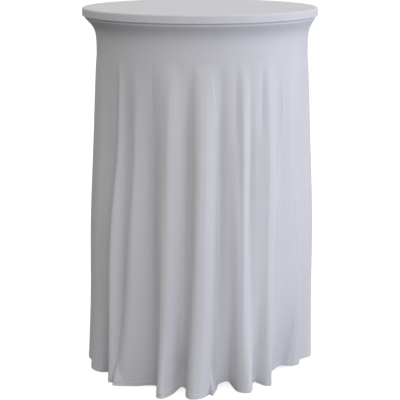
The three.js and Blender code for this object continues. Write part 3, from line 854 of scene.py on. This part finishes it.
# ======================================================================================
# FIXING PLATE AND SOCKET: a cross of black-painted steel plate screwed up into the board,
# and welded to it the tube that drops over the column. Eight zinc pan-head screws hold it.
# ======================================================================================
black_paint = hard_finish(
    "black_paint", (0.018, 0.018, 0.019), 0.46, coarse=25, fine=1200, depth=0.00012, worn=(0.11, 0.10, 0.095)
)
zinc_plate = hard_finish(
    "zinc_plate", (0.50, 0.51, 0.53), 0.34, metallic=1.0, coarse=120, fine=2400, depth=0.00003, tone=0.14
)


def merged_copy(name, node):
    """A new piece from a part's own shape, with its loose triangles joined into flat faces."""
    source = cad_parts[node].data
    mesh = bpy.data.meshes.new(name)
    mesh.from_pydata([v.co[:] for v in source.vertices], [], [p.vertices[:] for p in source.polygons])
    work = bmesh.new()
    work.from_mesh(mesh)
    bmesh.ops.remove_doubles(work, verts=work.verts, dist=1e-6)
    bmesh.ops.dissolve_limit(work, angle_limit=math.radians(0.5), verts=work.verts, edges=work.edges)
    work.to_mesh(mesh)
    work.free()
    return linked(name, mesh)


def dressed(piece, node, body, finish):
    """Paints a finished piece, hides the part it stands for, and says what it moves with."""
    piece.data.materials.clear()
    piece.data.materials.append(finish)
    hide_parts(node)
    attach(piece, body)


def eased(name, node, width, body, finish):
    """A copy of a part with its edges rounded by so many millimetres, as if pressed or moulded."""
    piece = merged_copy(name, node)
    rounding = piece.modifiers.new("rounding", "BEVEL")
    rounding.width = width * MM
    rounding.segments = 3
    rounding.limit_method = "ANGLE"
    rounding.angle_limit = math.radians(28)
    made_plain(piece)
    smoothed(piece)
    dressed(piece, node, body, finish)


def lathe(name, profile, sides=96, place=(0, 0), ring=False):
    """Turns points of radius and height, in millimetres, about an upright axis."""
    bearing = np.linspace(0, 2 * math.pi, sides, endpoint=False)
    points = []
    for r, z in profile:
        across = place[0] + r * np.cos(bearing) * MM
        back = place[1] + r * np.sin(bearing) * MM
        points += [(x, y, z * MM) for x, y in zip(across, back)]
    mesh = bpy.data.meshes.new(name)
    mesh.from_pydata(points, [], bands(len(profile), sides, ring))
    piece = linked(name, mesh)
    facing_out(piece)
    smoothed(piece)
    return piece


eased("fixing_cross", "fixing_plate", 0.8, "top", black_paint)
eased("socket_sleeve", "column_socket", 0.6, "top", black_paint)

SCREW_CORE = 1.6
SCREW_CREST = 2.4
SCREW_PITCH = 1.4
for i in range(1, 9):
    low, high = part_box(f"plate_screw_{i}")
    middle = (low + high) / 2
    base, top = low.z / MM, high.z / MM
    # A domed pan head, a plain neck, then a coarse thread that tapers to its point.
    profile = [(0, base + 0.9), (1.0, base + 0.9), (1.3, base + 0.1), (2.4, base), (3.6, base + 0.35),
               (4.5, base + 1.2), (4.8, base + 2.2), (4.7, base + 3.2), (2.2, base + 3.4), (2.1, base + 5)]
    height = base + 5
    while height < top - 4:
        profile += [(SCREW_CORE, height + 0.5), (SCREW_CREST, height + 0.9), (SCREW_CORE, height + 1.3)]
        height += SCREW_PITCH
    profile += [(1.2, top - 2), (0, top)]
    turned_screw = lathe(f"plate_screw_{i}_turned", profile, 24, (middle.x, middle.y))
    dressed(turned_screw, f"plate_screw_{i}", "top", zinc_plate)


# ======================================================================================
# CLAMP: a lobed plastic knob moulded on to a steel screw. It runs through a boss on the
# socket and presses a brass tip against the column, so the top can't lift or turn.
# ======================================================================================
CLAMP_PITCH = 1.5
brass = hard_finish(
    "brass", (0.56, 0.40, 0.16), 0.33, metallic=1.0, coarse=90, fine=1800, depth=0.00003, tone=0.12
)
moulded_knob = hard_finish(
    "moulded_knob", (0.02, 0.02, 0.022), 0.42, coarse=35, fine=1600, depth=0.0001, worn=(0.06, 0.06, 0.06)
)


def threaded_rod(name, radius, pitch, bottom, top, sides=24, place=(0, 0)):
    """A rod with a real thread cut along all of it, and both ends closed and chamfered."""
    depth = 0.6 * pitch
    rows = int((top - bottom) / pitch * 6)
    bearing = np.linspace(0, 2 * math.pi, sides, endpoint=False)
    points = []
    for z in np.linspace(bottom, top, rows):
        turns = (z / pitch - bearing / (2 * math.pi)) % 1
        chamfer = min(1, (z - bottom) / pitch, (top - z) / pitch)
        r = radius - depth * np.maximum(np.abs(2 * turns - 1), 1 - chamfer)
        points += [(place[0] + q * math.cos(b) * MM, place[1] + q * math.sin(b) * MM, z * MM)
                   for q, b in zip(r, bearing)]
    ends = [tuple(range(sides)), tuple(range((rows - 1) * sides, rows * sides))]
    mesh = bpy.data.meshes.new(name)
    mesh.from_pydata(points, [], bands(rows, sides) + ends)
    piece = linked(name, mesh)
    facing_out(piece)
    smoothed(piece, 60)
    return piece


eased("clamp_boss_ring", "clamp_boss", 0.6, "top", black_paint)
eased("pressure_tip", "clamp_tip", 0.4, "clamp_tip", brass)
eased("lobed_knob", "clamp_knob", 1.6, "clamp_knob", moulded_knob)
low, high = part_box("clamp_screw")
clamp_thread = threaded_rod("clamp_thread", (high.z - low.z) / 2 / MM, CLAMP_PITCH, low.x / MM, high.x / MM)
lying = Matrix.Translation((0, 0, (low.z + high.z) / 2)) @ Matrix.Rotation(math.radians(90), 4, "Y")
clamp_thread.data.transform(lying)
dressed(clamp_thread, "clamp_screw", "clamp_knob", zinc_plate)


# ======================================================================================
# COLUMN: a black steel tube that stands on the base, drawn down by a long tie rod between
# two nuts, with an iron plug in its top and a plated collar to hide the joint at its foot.
# ======================================================================================
TUBE_WALL = 2
COLLAR_GAP = 0.3
COLLAR_LIP = 2  # its thickness at the top
# Coarser than a real rod's thread: the rod is hidden inside the tube.
ROD_PITCH = 6
iron_paint = hard_finish(
    "iron_paint", (0.02, 0.02, 0.021), 0.6, coarse=45, fine=380, depth=0.0005, worn=(0.09, 0.085, 0.08)
)

low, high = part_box("column_tube")
outer, bottom, top = high.x / MM, low.z / MM, high.z / MM
tube = lathe("column_pipe", [
    (outer - TUBE_WALL, bottom), (outer - 0.4, bottom), (outer, bottom + 0.4), (outer, top - 0.4),
    (outer - 0.4, top), (outer - TUBE_WALL, top),
], 128, ring=True)
dressed(tube, "column_tube", "pedestal", black_paint)

low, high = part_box("column_collar")
inner, foot, bottom, top = outer + COLLAR_GAP, high.x / MM, low.z / MM, high.z / MM
# The collar flares like a trumpet from a thin edge at the column to a rolled rim below.
flare = [(foot - 0.9, bottom), (foot, bottom + 0.9), (foot, bottom + 2.4), (foot - 0.8, bottom + 3.2)]
for f in np.linspace(0, 1, 12)[1:]:
    r = foot - 0.8 - (foot - inner - COLLAR_LIP) * smooth_ramp(f) ** 0.7
    flare.append((r, bottom + 3.2 + (top - bottom - 3.2) * f**1.5))
collar = lathe("column_skirting", [(inner, bottom)] + flare + [(inner, top)], 128, ring=True)
dressed(collar, "column_collar", "pedestal", zinc_plate)

low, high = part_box("tie_rod")
rod = threaded_rod("drawing_rod", (high.x - low.x) / 2 / MM, ROD_PITCH, low.z / MM, high.z / MM, 20)
dressed(rod, "tie_rod", "pedestal", zinc_plate)
eased("top_plug", "column_plug", 0.5, "pedestal", iron_paint)
eased("rod_nut_top", "rod_top_nut", 0.5, "pedestal", zinc_plate)
eased("rod_nut_foot", "rod_foot_nut", 0.5, "pedestal", zinc_plate)
eased("rod_washer", "rod_foot_washer", 0.3, "pedestal", zinc_plate)


# ======================================================================================
# BASE: one cross of cast iron, with four tapering arms and a hub. The casting's edges and
# inner corners are soft, and its black paint follows the sandy skin of the mould.
# ======================================================================================
casting = merged_copy("cross_base", "base_casting")
skin = casting.modifiers.new("casting skin", "REMESH")
skin.mode = "VOXEL"
skin.voxel_size = 2.2 * MM
soft = casting.modifiers.new("soft corners", "SMOOTH")
soft.iterations = 5
made_plain(casting)
smoothed(casting, 180)
dressed(casting, "base_casting", "pedestal", iron_paint)


# ======================================================================================
# GLIDES: under each arm a swivelling plastic pad on a threaded steel stem. The stem's
# hexagon turns it up or down to level the table, and a jam nut holds it there.
# ======================================================================================
glide_plastic = hard_finish(
    "glide_plastic", (0.016, 0.016, 0.017), 0.62, coarse=50, fine=900, depth=0.0002, worn=(0.07, 0.07, 0.07)
)
PAD_MOUTH = 5.35  # the hole in the pad's top
PAD_POCKET = 8.95  # the hollow that holds the stem's foot
PAD_FLOOR = 2.7
STEM_FOOT = 8.6
FOOT_THICK = 2.6
STEM_NECK = 5
STEM_RADIUS = 4
STEM_PITCH = 1.25
HEX_RADIUS = 7.5
HEX_LOW = 8.3
HEX_HIGH = 14.3
for i in range(1, 5):
    low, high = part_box(f"glide_pad_{i}")
    middle = (low + high) / 2
    place = (middle.x, middle.y)
    wide, top = (high.x - low.x) / 2 / MM, high.z / MM
    pad = lathe(f"foot_pad_{i}", [
        (0, 0.4), (wide - 6, 0.4), (wide - 5.2, 0), (wide - 1.5, 0), (wide - 0.4, 0.5), (wide, 1.5),
        (wide, top - 4.6), (wide - 0.3, top - 3.8), (wide - 4.4, top - 0.5), (wide - 5.4, top),
        (PAD_MOUTH + 0.3, top), (PAD_MOUTH, top - 0.3), (PAD_MOUTH, top - 2.1), (PAD_POCKET, top - 2.1),
        (PAD_POCKET, PAD_FLOOR), (0, PAD_FLOOR),
    ], 64, place)
    dressed(pad, f"glide_pad_{i}", f"glide_pad_{i}", glide_plastic)

    low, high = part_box(f"glide_stem_{i}")
    sole = low.z / MM
    stem = threaded_rod(f"stem_thread_{i}", STEM_RADIUS, STEM_PITCH, HEX_HIGH + 1, high.z / MM, 20, place)
    foot = lathe(f"stem_foot_{i}", [
        (0, sole), (STEM_FOOT - 0.3, sole), (STEM_FOOT, sole + 0.3), (STEM_FOOT, sole + FOOT_THICK - 0.3),
        (STEM_FOOT - 0.3, sole + FOOT_THICK), (STEM_NECK, sole + FOOT_THICK), (STEM_NECK, HEX_LOW + 1),
        (0, HEX_LOW + 1),
    ], 48, place)
    hexagon = lathe(f"stem_hexagon_{i}", [
        (0, HEX_LOW), (HEX_RADIUS - 0.9, HEX_LOW), (HEX_RADIUS, HEX_LOW + 0.5), (HEX_RADIUS, HEX_HIGH - 0.5),
        (HEX_RADIUS - 0.9, HEX_HIGH), (STEM_RADIUS - 0.4, HEX_HIGH), (STEM_RADIUS - 0.4, HEX_HIGH + 1.1),
        (0, HEX_HIGH + 1.1),
    ], 6, place)
    smoothed(hexagon, 20)
    for piece in (stem, foot, hexagon):
        dressed(piece, f"glide_stem_{i}", f"glide_stem_{i}", zinc_plate)
    eased(f"locking_nut_{i}", f"jam_nut_{i}", 0.4, "pedestal", zinc_plate)
